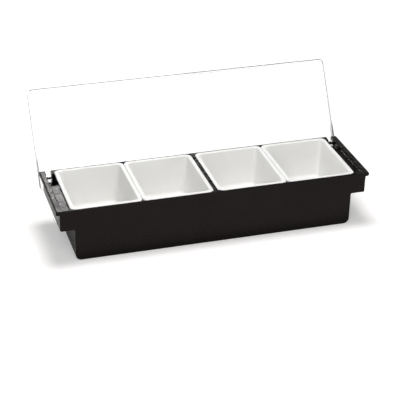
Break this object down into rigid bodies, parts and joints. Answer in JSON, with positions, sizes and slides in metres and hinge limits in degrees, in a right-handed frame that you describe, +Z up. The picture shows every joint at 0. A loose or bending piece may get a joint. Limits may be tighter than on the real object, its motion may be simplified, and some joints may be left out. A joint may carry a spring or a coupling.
{
  "type": "bar condiment holder",
  "caption": "Long black condiment tub with lift-out white inserts over an ice space and a clear lid that swings on pins at the rear corners.",
  "frame": {"origin": "middle of the tub's flat underside", "axes": "+X along the length to the right as seen from the front, +Y to the rear where the lid is hinged, +Z up"},
  "size_m": [0.498, 0.2252, 0.2065],
  "materials": {
    "black_plastic": "satin moulded",
    "pin_plastic": "smooth",
    "white_plastic": "gloss",
    "clear_plastic": "clear gloss"
  },
  "bodies": {
    "tub": {"base_tub": "black_plastic", "hinge_pin_left": "pin_plastic", "hinge_pin_right": "pin_plastic"},
    "lid": {"lid": "clear_plastic"},
    "insert_1": {"insert_1": "white_plastic"},
    "insert_2": {"insert_2": "white_plastic"},
    "insert_3": {"insert_3": "white_plastic"},
    "insert_4": {"insert_4": "white_plastic"}
  },
  "joints": [
    {"name": "lid_hinge", "type": "hinge", "parent": "tub", "child": "lid", "pos_m": [0, 0.0655, 0.08], "axis": [-1, 0, 0], "range_deg": [-120, 0]},
    {"name": "insert_1_lift", "type": "slide", "parent": "tub", "child": "insert_1", "axis": [0, 0, 1], "range_m": [0, 0.1]},
    {"name": "insert_2_lift", "type": "slide", "parent": "tub", "child": "insert_2", "axis": [0, 0, 1], "range_m": [0, 0.1]},
    {"name": "insert_3_lift", "type": "slide", "parent": "tub", "child": "insert_3", "axis": [0, 0, 1], "range_m": [0, 0.1]},
    {"name": "insert_4_lift", "type": "slide", "parent": "tub", "child": "insert_4", "axis": [0, 0, 1], "range_m": [0, 0.1]}
  ]
}
